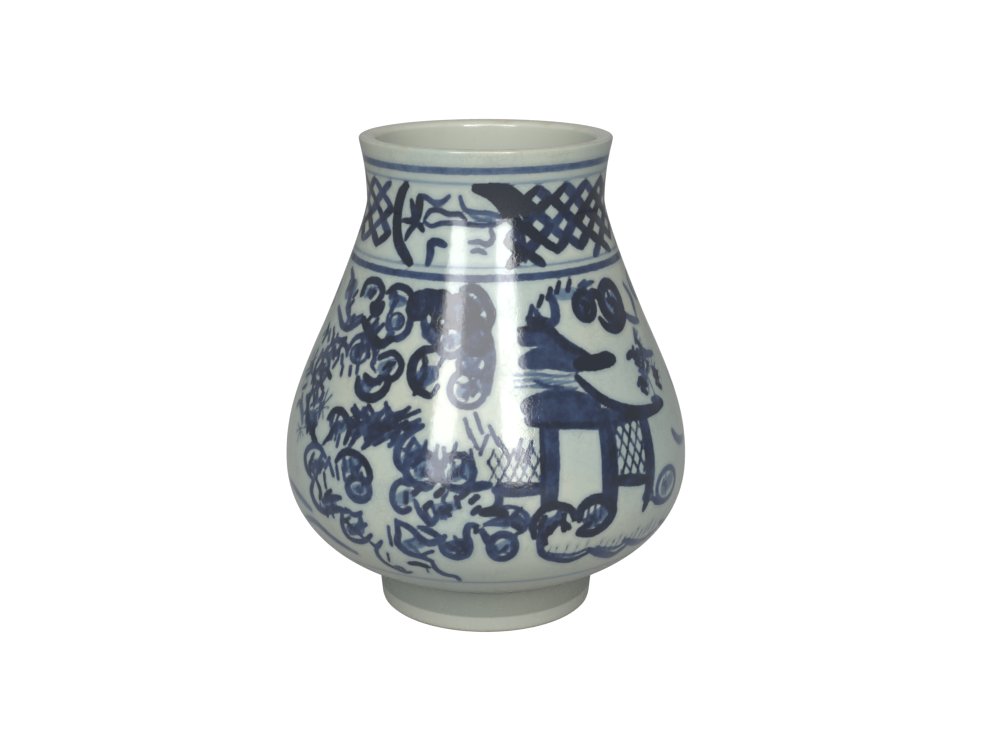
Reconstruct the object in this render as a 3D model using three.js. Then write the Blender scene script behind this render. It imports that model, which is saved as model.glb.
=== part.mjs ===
// A glazed stoneware jar: turned foot ring, full low belly, tapering shoulder, wide neck and rolled lip.
// It is thrown in sections that are luted together where the sections meet, so each section is one solid.
// Millimetres, +Z up. The origin is the centre of the foot's bottom face.

import * as THREE from 'three';
import { mergeVertices } from 'three/addons/utils/BufferGeometryUtils.js';

// Heights of the sections above the table
const FOOT_TOP_Z = 20.9;
const BELLY_Z = 67.0;
const NECK_JOINT_Z = 160.0;
const HEIGHT = 210.0;

// Foot ring
const FOOT_BOTTOM_R = 45.5;
const FOOT_BEVEL = 1.95;
const FOOT_BEVEL_HEIGHT = 2.2;
const FOOT_TOP_R = 49.5;
const FOOT_WALL = 7.6;
const FOOT_INNER_BEVEL = 1.2;

// Base: the boss under the floor drops into the foot ring
const RECESS_DEPTH = 13.0;
const BASE_FIT = 0.3;
const FLOOR_THICKNESS = 9.0;
const FLOOR_FLAT_R = 20.0;

// Belly and shoulder
const BELLY_R = 89.1;
const HEEL_RISE_DEG = 12.3;
const HEEL_HANDLE = 15.8;
const BELLY_HANDLE_BELOW = 27.8;
const BELLY_HANDLE_ABOVE = 17.4;
const SHOULDER_R = 72.0;
const SHOULDER_Z = 125.6;
const SHOULDER_LEAN_DEG = 24.85;
const SHOULDER_HANDLE_BELOW = 31.1;
const SHOULDER_HANDLE_ABOVE = 11.85;

// Neck and lip
const NECK_R = 51.0;
const NECK_Z = 182.7;
const NECK_HANDLE_BELOW = 8.1;
const NECK_HANDLE_ABOVE = 15.7;
const LIP_R = 54.0;
const LIP_DROP = 1.3;
const LIP_HANDLE = 2.05;
const LIP_THICKNESS = 7.4;
const LIP_ROLL = 2.0;
const LIP_INNER_DROP = 2.6;

// Wall thicknesses, each measured square to the wall
const HEEL_WALL = 7.5;
const BELLY_WALL = 5.2;
const NECK_WALL = 4.8;

// The ridge of squeezed clay that a luted joint leaves inside
const RIDGE = 1.2;
const RIDGE_HALF_WIDTH = 5.0;

// Facets
const TURN_STEPS = 48;
const HEEL_STEPS = 9;
const BELLY_STEPS = 8;
const SHOULDER_STEPS = 5;
const NECK_STEPS = 5;
const LIP_STEPS = 4;

const deg = Math.PI / 180;
const point = (r, z) => new THREE.Vector2(r, z);

// A cubic between two stations, each with a direction and a handle length
function curve(from, fromDirection, fromHandle, to, toDirection, toHandle) {
  return new THREE.CubicBezierCurve(
    from,
    from.clone().addScaledVector(fromDirection, fromHandle),
    to.clone().addScaledVector(toDirection, -toHandle),
    to,
  );
}

// Stations of the outside, from the foot up
const up = point(0, 1);
const heel = point(FOOT_TOP_R, FOOT_TOP_Z);
const belly = point(BELLY_R, BELLY_Z);
const shoulder = point(SHOULDER_R, SHOULDER_Z);
const neck = point(NECK_R, NECK_Z);
const lip = point(LIP_R, HEIGHT - LIP_DROP);
const heelDirection = point(Math.cos(HEEL_RISE_DEG * deg), Math.sin(HEEL_RISE_DEG * deg));
const shoulderDirection = point(-Math.sin(SHOULDER_LEAN_DEG * deg), Math.cos(SHOULDER_LEAN_DEG * deg));

const heelCurve = curve(heel, heelDirection, HEEL_HANDLE, belly, up, BELLY_HANDLE_BELOW);
const bellyCurve = curve(belly, up, BELLY_HANDLE_ABOVE, shoulder, shoulderDirection, SHOULDER_HANDLE_BELOW);
const shoulderCurve = curve(shoulder, shoulderDirection, SHOULDER_HANDLE_ABOVE, neck, up, NECK_HANDLE_BELOW);
const lipCurve = curve(neck, up, NECK_HANDLE_ABOVE, lip, up, LIP_HANDLE);

// The curve's parameter where it passes a height
function parameterAt(path, z) {
  let low = 0;
  let high = 1;
  for (let i = 0; i < 40; i += 1) {
    const middle = (low + high) / 2;
    if (path.getPoint(middle).y < z) low = middle;
    else high = middle;
  }
  return (low + high) / 2;
}

// Points of a curve between two parameters, both ends included
function stretch(path, from, to, steps) {
  return Array.from({ length: steps + 1 }, (_, i) => path.getPoint(from + ((to - from) * i) / steps));
}

// The wall at a height, from the belly's to the neck's
function wallAt(z) {
  const share = THREE.MathUtils.clamp((z - BELLY_Z) / (NECK_Z - BELLY_Z), 0, 1);
  return BELLY_WALL + (NECK_WALL - BELLY_WALL) * share;
}

// How far the luting ridge stands in from the wall at a height
function ridgeAt(z) {
  const reach = (joint) => {
    const away = Math.abs(z - joint) / RIDGE_HALF_WIDTH;
    return away < 1 ? RIDGE * Math.cos((away * Math.PI) / 2) ** 2 : 0;
  };
  return Math.max(reach(BELLY_Z), reach(NECK_JOINT_Z));
}

// The inside at the same height as a point of the outside
function insideLevel(path, t) {
  const outside = path.getPoint(t);
  const tangent = path.getTangent(t);
  return point(outside.x - wallAt(outside.y) / tangent.y - ridgeAt(outside.y), outside.y);
}

// The inside square to the heel's outside, thickening towards the foot
function insideSquare(t) {
  const outside = heelCurve.getPoint(t);
  const tangent = heelCurve.getTangent(t);
  const wall = HEEL_WALL + (BELLY_WALL - HEEL_WALL) * t;
  const place = point(outside.x - tangent.y * wall, outside.y + tangent.x * wall);
  return point(place.x - ridgeAt(place.y), place.y);
}

// Turns a section's profile into a closed solid; the profile runs up the outside and down the inside
function turned(name, profile, material) {
  const lathe = new THREE.LatheGeometry(profile, TURN_STEPS);
  lathe.deleteAttribute('normal');
  lathe.deleteAttribute('uv');
  const solid = mergeVertices(lathe, 1e-5);
  const faces = [];
  const index = solid.index.array;
  for (let i = 0; i < index.length; i += 3) {
    const [a, b, c] = [index[i], index[i + 1], index[i + 2]];
    if (a !== b && b !== c && c !== a) faces.push(a, b, c);
  }
  solid.setIndex(faces);
  solid.rotateX(Math.PI / 2);
  solid.computeVertexNormals();
  const mesh = new THREE.Mesh(solid, material);
  mesh.name = name;
  return mesh;
}

// Materials
const bareClay = new THREE.MeshStandardMaterial({ color: 0x8f8d7c, roughness: 0.55, metalness: 0 });
const lowerGlaze = new THREE.MeshStandardMaterial({ color: 0x9aa39a, roughness: 0.22, metalness: 0 });
const upperGlaze = new THREE.MeshStandardMaterial({ color: 0x97a19c, roughness: 0.22, metalness: 0 });
const neckGlaze = new THREE.MeshStandardMaterial({ color: 0xa3aba2, roughness: 0.22, metalness: 0 });

// Foot ring: a low turned collar with a bevelled bottom edge, open in the middle
function footRing() {
  const innerBottom = FOOT_BOTTOM_R - FOOT_WALL;
  const outside = [
    point(FOOT_BOTTOM_R, 0),
    point(FOOT_BOTTOM_R + FOOT_BEVEL * 0.7, FOOT_BEVEL_HEIGHT * 0.3),
    point(FOOT_BOTTOM_R + FOOT_BEVEL, FOOT_BEVEL_HEIGHT),
    point((FOOT_BOTTOM_R + FOOT_BEVEL + FOOT_TOP_R) / 2, (FOOT_BEVEL_HEIGHT + FOOT_TOP_Z) / 2),
    heel,
  ];
  const inside = [
    point(innerBottom, FOOT_TOP_Z),
    point(innerBottom, RECESS_DEPTH),
    point(innerBottom, FOOT_INNER_BEVEL),
    point(innerBottom + FOOT_INNER_BEVEL, 0),
  ];
  return turned('foot_ring', [...outside, ...inside, outside[0].clone()], bareClay);
}

// Lower body: floor, base boss and the heel of the belly, seated on the foot ring
function lowerBody() {
  const bossR = FOOT_BOTTOM_R - FOOT_WALL - BASE_FIT;
  const outside = stretch(heelCurve, 0, 1, HEEL_STEPS);
  const inside = Array.from({ length: HEEL_STEPS + 1 }, (_, i) => insideSquare(1 - i / HEEL_STEPS));
  inside[0] = point(inside[0].x, BELLY_Z);
  const floorEdge = inside[inside.length - 1];
  const floorFlat = point(FLOOR_FLAT_R, RECESS_DEPTH + FLOOR_THICKNESS);
  const cove = curve(
    floorEdge,
    heelDirection.clone().negate(),
    (floorEdge.x - floorFlat.x) / 3,
    floorFlat,
    point(-1, 0),
    (floorEdge.x - floorFlat.x) / 3,
  );
  const profile = [
    point(0, RECESS_DEPTH),
    point(bossR, RECESS_DEPTH),
    point(bossR, FOOT_TOP_Z),
    ...outside,
    ...inside,
    ...stretch(cove, 0, 1, 3).slice(1),
    point(0, floorFlat.y),
  ];
  return turned('lower_body', profile, lowerGlaze);
}

// Upper body: from the widest line over the shoulder to the root of the neck
function upperBody() {
  const neckT = parameterAt(shoulderCurve, NECK_JOINT_Z);
  const outside = [
    ...stretch(bellyCurve, 0, 1, BELLY_STEPS),
    ...stretch(shoulderCurve, 0, neckT, SHOULDER_STEPS).slice(1),
  ];
  const inside = [];
  for (let i = SHOULDER_STEPS; i > 0; i -= 1) inside.push(insideLevel(shoulderCurve, (neckT * i) / SHOULDER_STEPS));
  for (let i = BELLY_STEPS; i >= 0; i -= 1) inside.push(insideLevel(bellyCurve, i / BELLY_STEPS));
  outside[outside.length - 1].y = NECK_JOINT_Z;
  inside[0].y = NECK_JOINT_Z;
  return turned('upper_body', [...outside, ...inside, outside[0].clone()], upperGlaze);
}

// Neck: draws in, then flares to a thick rolled lip that slopes into the mouth
function neckWithLip() {
  const neckT = parameterAt(shoulderCurve, NECK_JOINT_Z);
  const outside = [
    ...stretch(shoulderCurve, neckT, 1, NECK_STEPS),
    ...stretch(lipCurve, 0, 1, NECK_STEPS).slice(1),
  ];
  outside[0].y = NECK_JOINT_Z;
  const roll = [];
  for (let i = 1; i <= LIP_STEPS; i += 1) {
    const turn = (i / LIP_STEPS) * 90 * deg;
    roll.push(point(LIP_R - LIP_ROLL * (1 - Math.cos(turn)), lip.y + LIP_DROP * Math.sin(turn)));
  }
  const innerEdge = point(LIP_R - LIP_THICKNESS, HEIGHT - LIP_INNER_DROP);
  const slope = curve(
    roll[roll.length - 1],
    point(-1, 0),
    (LIP_THICKNESS - LIP_ROLL) * 0.6,
    innerEdge,
    point(0, -1),
    LIP_INNER_DROP * 0.6,
  );
  const inside = [];
  for (let i = NECK_STEPS - 1; i > 0; i -= 1) {
    const t = i / NECK_STEPS;
    const outer = lipCurve.getPoint(t);
    const share = (outer.y - NECK_Z) / (innerEdge.y - NECK_Z);
    if (share < 0.85) {
      const narrow = NECK_R - NECK_WALL;
      inside.push(point(narrow + (innerEdge.x - narrow) * share ** 2, outer.y));
    }
  }
  for (let i = NECK_STEPS; i >= 0; i -= 1) inside.push(insideLevel(shoulderCurve, neckT + ((1 - neckT) * i) / NECK_STEPS));
  inside[inside.length - 1].y = NECK_JOINT_Z;
  const profile = [...outside, ...roll, ...stretch(slope, 0, 1, LIP_STEPS).slice(1), ...inside, outside[0].clone()];
  return turned('neck', profile, neckGlaze);
}

const jar = new THREE.Group();
jar.name = 'jar';
jar.add(footRing(), lowerBody(), upperBody(), neckWithLip());

export default jar;
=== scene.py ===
# %% [markdown]
# A stoneware jar painted in blue under a grey-green glaze. The frame holds four turned sections. Here each
# section is spun again with a fine outside, so that brush strokes painted on its vertices stay crisp.

import math
import random

import bmesh
import bpy
import numpy as np
from mathutils import Matrix


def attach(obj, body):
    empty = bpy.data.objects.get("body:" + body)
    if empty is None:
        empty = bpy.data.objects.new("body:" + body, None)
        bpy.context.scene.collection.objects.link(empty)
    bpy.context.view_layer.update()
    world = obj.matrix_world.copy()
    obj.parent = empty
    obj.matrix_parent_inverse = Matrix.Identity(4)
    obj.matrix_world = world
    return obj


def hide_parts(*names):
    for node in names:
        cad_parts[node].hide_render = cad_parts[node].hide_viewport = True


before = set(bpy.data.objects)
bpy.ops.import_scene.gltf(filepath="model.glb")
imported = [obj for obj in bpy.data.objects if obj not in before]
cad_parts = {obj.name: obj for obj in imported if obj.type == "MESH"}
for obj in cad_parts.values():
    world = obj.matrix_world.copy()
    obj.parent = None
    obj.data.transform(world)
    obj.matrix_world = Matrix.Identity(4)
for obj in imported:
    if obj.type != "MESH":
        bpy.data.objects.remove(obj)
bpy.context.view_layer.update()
MM = 0.001
print("sections:", sorted(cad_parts))

# %% [markdown]
# The jar was thrown on a wheel, so its outside is one line turned round the axis. The line has a few stations
# with a direction each, and a cubic curve between two stations keeps the curve fair, as a potter's rib does.

# %% The outside line, in millimetres
HEIGHT = 210.0
FOOT_TOP_Z = 20.9
BELLY_Z = 67.0
NECK_JOINT_Z = 160.0
HEEL_RISE = math.radians(12.3)
SHOULDER_LEAN = math.radians(24.85)
UP = np.array((0.0, 1.0))
INWARDS = np.array((-1.0, 0.0))
HEEL_WAY = np.array((math.cos(HEEL_RISE), math.sin(HEEL_RISE)))
SHOULDER_WAY = np.array((-math.sin(SHOULDER_LEAN), math.cos(SHOULDER_LEAN)))
HEEL = np.array((49.5, FOOT_TOP_Z))
BELLY = np.array((89.1, BELLY_Z))
SHOULDER = np.array((72.0, 125.6))
NECK = np.array((51.0, 182.7))
LIP_DROP = 1.3
LIP = np.array((54.0, HEIGHT - LIP_DROP))


def cubic(start, start_way, start_reach, end, end_way, end_reach, count):
    """Points of a cubic curve between two stations, both ends included."""
    t = np.linspace(0, 1, count)[:, None]
    a = start + start_way * start_reach
    b = end - end_way * end_reach
    return (1 - t) ** 3 * start + 3 * (1 - t) ** 2 * t * a + 3 * (1 - t) * t**2 * b + t**3 * end


HEEL_REACH = 15.8
BELLY_REACH_BELOW = 27.8
BELLY_REACH_ABOVE = 17.4
SHOULDER_REACH_BELOW = 31.1
SHOULDER_REACH_ABOVE = 11.85
NECK_REACH_BELOW = 8.1
NECK_REACH_ABOVE = 15.7
LIP_REACH = 2.05
LINE_POINTS = 400
heel_line = cubic(HEEL, HEEL_WAY, HEEL_REACH, BELLY, UP, BELLY_REACH_BELOW, LINE_POINTS)
belly_line = cubic(BELLY, UP, BELLY_REACH_ABOVE, SHOULDER, SHOULDER_WAY, SHOULDER_REACH_BELOW, LINE_POINTS)
shoulder_line = cubic(SHOULDER, SHOULDER_WAY, SHOULDER_REACH_ABOVE, NECK, UP, NECK_REACH_BELOW, LINE_POINTS)
lip_line = cubic(NECK, UP, NECK_REACH_ABOVE, LIP, UP, LIP_REACH, LINE_POINTS // 2)
wall_line = np.vstack((heel_line, belly_line[1:], shoulder_line[1:], lip_line[1:]))
wall_run = np.concatenate(([0], np.cumsum(np.hypot(*np.diff(wall_line, axis=0).T))))
print("outside runs", round(float(wall_run[-1]), 1), "mm up the wall")


def radius_at(z):
    """The outside radius at a height."""
    return np.interp(z, wall_line[:, 1], wall_line[:, 0])


def run_at(z):
    """The distance up the wall at a height."""
    return np.interp(z, wall_line[:, 1], wall_run)


# %% [markdown]
# The four outlines follow the frame's sections: same joints, same walls, same slope into the mouth. The
# outside gets a row about every millimetre for the painting, and the inside needs far fewer.

# %% Outlines of the four sections
TURN_STEPS = 700
ROW = 0.9
BELLY_WALL = 5.2
NECK_WALL = 4.8
HEEL_WALL = 7.5
FOOT_BOTTOM_R = 45.5
FOOT_WALL = 7.6
BASE_FIT = 0.3
RECESS_Z = 13.0
FLOOR_Z = 22.0
FLOOR_FLAT_R = 20.0
RIDGE = 1.2
RIDGE_HALF_WIDTH = 5.0
LIP_THICKNESS = 7.4
LIP_ROLL = 2.0
LIP_INNER_DROP = 2.6


def evenly(points, gap):
    """The same line with its points about one gap apart."""
    points = np.asarray(points, float)
    run = np.concatenate(([0], np.cumsum(np.hypot(*np.diff(points, axis=0).T))))
    marks = np.linspace(0, run[-1], max(2, int(run[-1] / gap) + 1))
    return np.column_stack([np.interp(marks, run, points[:, k]) for k in (0, 1)])


def between(low, high):
    """The stretch of the outside between two heights."""
    inner = wall_line[(wall_line[:, 1] > low + 0.01) & (wall_line[:, 1] < high - 0.01)]
    ends = [(float(radius_at(z)), z) for z in (low, high)]
    return np.vstack((ends[0], inner, ends[1]))


def inside_of(line):
    """The inside at the same heights, square to a wall that thins towards the neck."""
    way = np.gradient(line, axis=0)
    upright = way[:, 1] / np.hypot(way[:, 0], way[:, 1])
    share = np.clip((line[:, 1] - BELLY_Z) / (NECK[1] - BELLY_Z), 0, 1)
    wall = (BELLY_WALL + (NECK_WALL - BELLY_WALL) * share) / upright
    ridge = np.zeros(len(line))
    for joint in (BELLY_Z, NECK_JOINT_Z):
        near = np.clip(1 - np.abs(line[:, 1] - joint) / RIDGE_HALF_WIDTH, 0, 1)
        ridge = np.maximum(ridge, RIDGE * np.sin(near * math.pi / 2) ** 2)
    return np.column_stack((line[:, 0] - wall - ridge, line[:, 1]))


def heel_inside():
    """The inside of the heel, square to its outside and thicker towards the foot."""
    way = np.gradient(heel_line, axis=0)
    way /= np.hypot(way[:, 0], way[:, 1])[:, None]
    wall = np.linspace(HEEL_WALL, BELLY_WALL, len(heel_line))[:, None]
    line = heel_line + np.column_stack((-way[:, 1], way[:, 0])) * wall
    line[-1, 1] = BELLY_Z
    near = np.clip(1 - (BELLY_Z - line[:, 1]) / RIDGE_HALF_WIDTH, 0, 1)
    line[:, 0] -= RIDGE * np.sin(near * math.pi / 2) ** 2
    return line


def foot_outline():
    """The ring under the body: a bevelled resting edge outside, a recess inside."""
    inner = FOOT_BOTTOM_R - FOOT_WALL
    outside = [(FOOT_BOTTOM_R, 0), (46.4, 0.25), (47.1, 0.9), (47.45, 2.2), (47.9, 7), (48.6, 14),
               tuple(HEEL)]
    inside = [(inner, FOOT_TOP_Z), (inner, RECESS_Z), (inner, 1.4), (inner + 0.4, 0.5), (inner + 1.2, 0)]
    return np.vstack((evenly(outside, ROW), evenly(inside, 2.5)))


def lower_outline():
    """The base in the foot, the heel's outside and the bowl inside."""
    base_r = FOOT_BOTTOM_R - FOOT_WALL - BASE_FIT
    inside = heel_inside()[::-1]
    floor = cubic(inside[-1], -HEEL_WAY, 9, np.array((FLOOR_FLAT_R, FLOOR_Z)), INWARDS, 9, 30)
    base = evenly([(0, RECESS_Z), (base_r, RECESS_Z), (base_r, FOOT_TOP_Z)], 4)
    bowl = evenly(np.vstack((inside, floor[1:], (0, FLOOR_Z))), 3.2)
    return np.vstack((base, evenly(heel_line, ROW), bowl))


def upper_outline():
    """The wall from the belly joint to the neck joint."""
    outside = evenly(between(BELLY_Z, NECK_JOINT_Z), ROW)
    inside = evenly(inside_of(between(BELLY_Z, NECK_JOINT_Z))[::-1], 4)
    return np.vstack((outside, inside))


def neck_outline():
    """The neck, the rolled lip, the slope into the mouth and the throat."""
    outside = evenly(between(NECK_JOINT_Z, LIP[1]), ROW)
    turn = np.radians(np.linspace(12, 90, 7))
    roll = np.column_stack((LIP[0] - LIP_ROLL * (1 - np.cos(turn)), LIP[1] + LIP_DROP * np.sin(turn)))
    edge = np.array((LIP[0] - LIP_THICKNESS, HEIGHT - LIP_INNER_DROP))
    slope = cubic(roll[-1], INWARDS, 3.2, edge, -UP, 1.6, 12)
    throat = cubic(edge, -UP, 9, NECK - (NECK_WALL, 0), -UP, 9, 14)
    below = evenly(inside_of(between(NECK_JOINT_Z, NECK[1]))[::-1], 3)
    return np.vstack((outside, roll, slope[1:], throat[1:], below[1:]))


for outline in (foot_outline, lower_outline, upper_outline, neck_outline):
    print(outline.__name__, len(outline()))

# %% [markdown]
# Each outline is a ring of vertices and edges that bmesh spins round the axis, as the wheel does. The lower
# body's line ends on the axis. Only real corners are marked sharp.

# %% Spin the sections
CORNER = 35
MERGE = 1e-6


def turned(name, outline, on_axis=False):
    """Spin one outline of radius and height into a closed section."""
    mesh = bpy.data.meshes.new(name)
    bm = bmesh.new()
    rim = [bm.verts.new((0, -r * MM, z * MM)) for r, z in outline]
    edges = [bm.edges.new(pair) for pair in zip(rim, rim[1:])]
    if not on_axis:
        edges.append(bm.edges.new((rim[-1], rim[0])))
    bmesh.ops.spin(bm, geom=rim + edges, cent=(0, 0, 0), axis=(0, 0, 1), dvec=(0, 0, 0), angle=2 * math.pi,
                   space=Matrix(), steps=TURN_STEPS, use_merge=True, use_normal_flip=False,
                   use_duplicate=False)
    bmesh.ops.remove_doubles(bm, verts=bm.verts, dist=MERGE)
    bmesh.ops.recalc_face_normals(bm, faces=bm.faces)
    for face in bm.faces:
        face.smooth = True
    bm.to_mesh(mesh)
    bm.free()
    mesh.set_sharp_from_angle(angle=math.radians(CORNER))
    piece = bpy.data.objects.new(name, mesh)
    bpy.context.collection.objects.link(piece)
    print(name, len(mesh.polygons), "faces")
    return piece


foot = turned("glazed_foot", foot_outline())
lower = turned("painted_lower_body", lower_outline(), on_axis=True)
upper = turned("painted_upper_body", upper_outline())
neck = turned("painted_neck", neck_outline())
WORN = {foot: "foot_ring", lower: "lower_body", upper: "upper_body", neck: "neck"}
for piece, node in WORN.items():
    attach(piece, "root")
    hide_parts(node)

# %% [markdown]
# The painting is a list of brush strokes. A stroke has a width in millimetres, a strength of ink, and the
# points it passes in degrees round the jar and millimetres of height. A sheet wrapped round the wall keeps,
# at each place, how far the nearest stroke's edge is and how strong its ink is.

# %% The sheet that is painted on
UNPAINTED = 8.0
TURN_CELLS = 1440
CELL_Z = 0.4
sheet_z = np.arange(20, 210.01, CELL_Z)
sheet_edge = np.full((len(sheet_z), TURN_CELLS), UNPAINTED)
sheet_ink = np.zeros((len(sheet_z), TURN_CELLS))
mm_per_degree = np.radians(1) * radius_at(sheet_z)
sheet_run = run_at(sheet_z)
hand = random.Random(11)
print("sheet", sheet_edge.shape)

# %% [markdown]
# A stroke is a smooth curve of changing width through a few points, measured against the cells around it.

# %% One brush stroke
BRUSH = 1.2
MARGIN = 3


def rounded(points, parts=4):
    """A smooth line through a few points, as a wrist draws it."""
    p = np.asarray(points, float)
    if len(p) < 3:
        return p
    ends = np.vstack((2 * p[0] - p[1], p, 2 * p[-1] - p[-2]))
    line = []
    for a, b, c, d in zip(ends, ends[1:], ends[2:], ends[3:]):
        for t in np.arange(parts) / parts:
            line.append(0.5 * (2 * b + (c - a) * t + (2 * a - 5 * b + 4 * c - d) * t**2
                               + (3 * b - a - 3 * c + d) * t**3))
    return np.vstack((line, p[-1]))


def stroke(width, ink, *points, taper=0.35):
    """Lay one brush stroke on the sheet; it thins towards its two ends."""
    line = rounded(points)
    along = np.linspace(-1, 1, len(line))
    half = BRUSH * width / 2 * (1 - taper * np.abs(along) ** 3)
    reach = BRUSH * width / 2 + MARGIN
    for (t0, z0), (t1, z1), h0, h1 in zip(line, line[1:], half, half[1:]):
        rows = slice(*np.searchsorted(sheet_z, (min(z0, z1) - reach, max(z0, z1) + reach)))
        if rows.stop <= rows.start:
            continue
        spread = reach / mm_per_degree[rows].min()
        first = int((min(t0, t1) - spread) * TURN_CELLS / 360)
        last = int((max(t0, t1) + spread) * TURN_CELLS / 360) + 1
        columns = np.arange(first, last + 1)
        scale = mm_per_degree[rows][:, None]
        ax = (t0 - columns * 360 / TURN_CELLS)[None, :] * scale
        bx = (t1 - t0) * scale
        ay = (run_at(z0) - sheet_run[rows])[:, None]
        by = float(run_at(z1) - run_at(z0))
        share = np.clip(-(ax * bx + ay * by) / (bx**2 + by**2 + 1e-9), 0, 1)
        far = np.hypot(ax + share * bx, ay + share * by) - (h0 + (h1 - h0) * share)
        window = np.ix_(np.arange(rows.start, rows.stop), columns % TURN_CELLS)
        edge, tone = sheet_edge[window], sheet_ink[window]
        deeper = np.maximum(tone, ink)
        tone = np.where((far < 0) & (edge < 0), deeper, np.where(far < edge, ink, tone))
        sheet_edge[window], sheet_ink[window] = np.minimum(edge, far), tone


def inked():
    """How many cells carry ink."""
    return int((sheet_edge < 0).sum())


print("inked cells:", inked())

# %% [markdown]
# From the stroke come the few marks that such painters repeat. A seeded hand varies the small ones.

# %% Marks made of strokes
def ring_line(z, width, ink, sway=0.25):
    """A line drawn while the wheel turns, with the hand's slow sway."""
    points = [(turn, z + sway * math.sin(math.radians(turn * 2 + z * 9))) for turn in range(0, 361, 12)]
    stroke(width, ink, *points, taper=0)


def dab(turn, z, width, ink, lean=0.0, length=2.0):
    """A short touch of the brush."""
    stroke(width, ink, (turn - lean, z - length / 2), (turn + lean, z + length / 2), taper=0.2)


def wash(turn, z, wide, high, ink=0.3):
    """A thin watery touch that half fills a lobe before its outline is drawn."""
    side = hand.uniform(-0.25, 0.25) * wide
    stroke(high * 0.95, ink * hand.uniform(0.7, 1.2), (turn + side - wide * 0.3, z - high * 0.15),
           (turn + side + wide * 0.35, z + high * 0.15), taper=0.2)


def lobe(turn, z, wide, high, width, ink, start=0, sweep=360, dabs=3):
    """One cloud or rock lobe: a thick ring with a few dabs inside."""
    angles = np.radians(np.linspace(start, start + sweep, max(5, int(sweep / 30))))
    wash(turn, z, wide, high)
    points = [(turn + wide * math.cos(a), z + high * math.sin(a)) for a in angles]
    stroke(width, ink, *points, taper=0.1)
    for _ in range(dabs):
        dab(turn + hand.uniform(-0.45, 0.45) * wide, z + hand.uniform(-0.4, 0.4) * high,
            hand.uniform(1.2, 2.2), ink * hand.uniform(0.7, 1.1), hand.uniform(-1, 1), hand.uniform(1.5, 3.5))


def spray(turn, z, reach, count, ink, start=0, sweep=360, width=1.3):
    """Short leaves that stand out from one point."""
    for k in range(count):
        a = math.radians(start + sweep * k / max(1, count - 1) + hand.uniform(-8, 8))
        far = reach * hand.uniform(0.75, 1.1)
        stroke(width, ink, (turn, z), (turn + far * 0.65 * math.cos(a), z + far * math.sin(a)), taper=0.6)


print("marks: ring_line, dab, wash, lobe, spray")

# %% [markdown]
# The neck has two pairs of rings and, between them, a trellis of short crossed strokes with pale diamonds
# left open. Two heavy curved strokes cut a plain panel out of it for a loose spray of leaves. The jar's far
# side isn't seen, so a second panel is placed there as such jars often have.

# %% Neck: rings, trellis and panel
ring_line(201.4, 2.6, 0.42)
ring_line(196.4, 1.0, 0.2)
ring_line(163.2, 0.9, 0.26)
ring_line(159.4, 2.6, 0.6)
ring_line(36.6, 0.8, 0.22)
TRELLIS_TURN = 7.25
TRELLIS_RISE = 5.0
TRELLIS_START = 16.5
TRELLIS_TOP = 188.6
TRELLIS_BOTTOM = 163.6


def trellis(first, last, width, ink):
    """Crossed dashes between the nodes of a slanting grid, left open at the pale diamonds."""
    columns = [int((end - TRELLIS_START) / TRELLIS_TURN) for end in (first, last)]
    for j in range(-1, 6):
        for i in range(columns[0], columns[1] + 1):
            if (i + j) % 2:
                continue
            turn = TRELLIS_START + TRELLIS_TURN * i + hand.uniform(-0.7, 0.7)
            z = TRELLIS_TOP - TRELLIS_RISE * j + hand.uniform(-0.5, 0.5)
            for side in (-TRELLIS_TURN, TRELLIS_TURN):
                end = (turn + side, z - TRELLIS_RISE)
                if first <= turn <= last and first <= end[0] <= last and end[1] > TRELLIS_BOTTOM:
                    bend = (turn + side / 2, z - TRELLIS_RISE / 2 + hand.uniform(-0.6, 0.6))
                    wide = width * hand.uniform(0.8, 1.15)
                    stroke(wide, ink * hand.uniform(0.65, 1.1), (turn, z), bend, end)


def panel(turn):
    """A plain panel between two heavy strokes, with a spray of leaves and a root."""
    def at(width, ink, *points):
        stroke(width * 1.1, ink * 1.15, *[(turn + t, z) for t, z in points])

    at(4.0, 0.85, (-38.5, 194), (-42, 190), (-44.5, 184), (-44.5, 178), (-41.5, 171), (-36, 166),
       (-33, 163.5))
    at(5.0, 1.0, (-4, 194.5), (2, 193), (7, 189), (11, 184), (14.5, 180))
    at(4.6, 1.0, (2, 195), (10, 193), (15, 189), (18, 184))
    at(3.0, 0.7, (15, 181), (15.5, 174), (16.5, 166))
    at(2.6, 0.75, (-36, 188), (-34.5, 182), (-34, 179))
    at(3.2, 0.8, (-31, 190), (-32, 185), (-33, 180))
    at(2.2, 0.8, (-41, 179.5), (-36, 179.5), (-30, 178.5))
    at(2.2, 0.75, (-37.5, 172.5), (-36, 176), (-33, 178.5))
    at(2.2, 0.75, (-29, 176.5), (-31, 178), (-34, 180))
    at(1.9, 0.65, (-29, 181), (-26, 184.5), (-22, 185.2), (-17, 183.8), (-12, 183.8), (-9, 181.5))
    at(2.0, 0.55, (-31, 190.5), (-28, 190), (-24, 188), (-20, 188.5), (-16.5, 191))
    at(1.8, 0.6, (-29, 180), (-25, 178.5), (-20, 180), (-12, 180.3), (-4, 179.6), (4, 180), (8, 181.5))
    at(1.8, 0.5, (-11.5, 191), (-9.5, 186), (-5, 184.8), (1, 184.6), (6, 183.2), (8.5, 181.5))
    at(1.3, 0.4, (-8, 184.5), (-3, 182), (4, 182.2))
    at(2.8, 0.7, (-24.5, 163.8), (-24, 168), (-24.4, 172), (-21, 172.6), (-18, 171.6))
    at(2.0, 0.6, (-7, 173), (-3, 173.2), (1, 172.4), (3.2, 175), (2, 178))
    at(1.9, 0.6, (-6, 169.5), (-3, 170), (0, 168.8))


trellis(-172, -46, 3.4, 0.84)
trellis(9, 128, 3.8, 0.95)
panel(0)
panel(182)
print("inked cells after the neck:", int((sheet_edge < 0).sum()))

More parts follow.
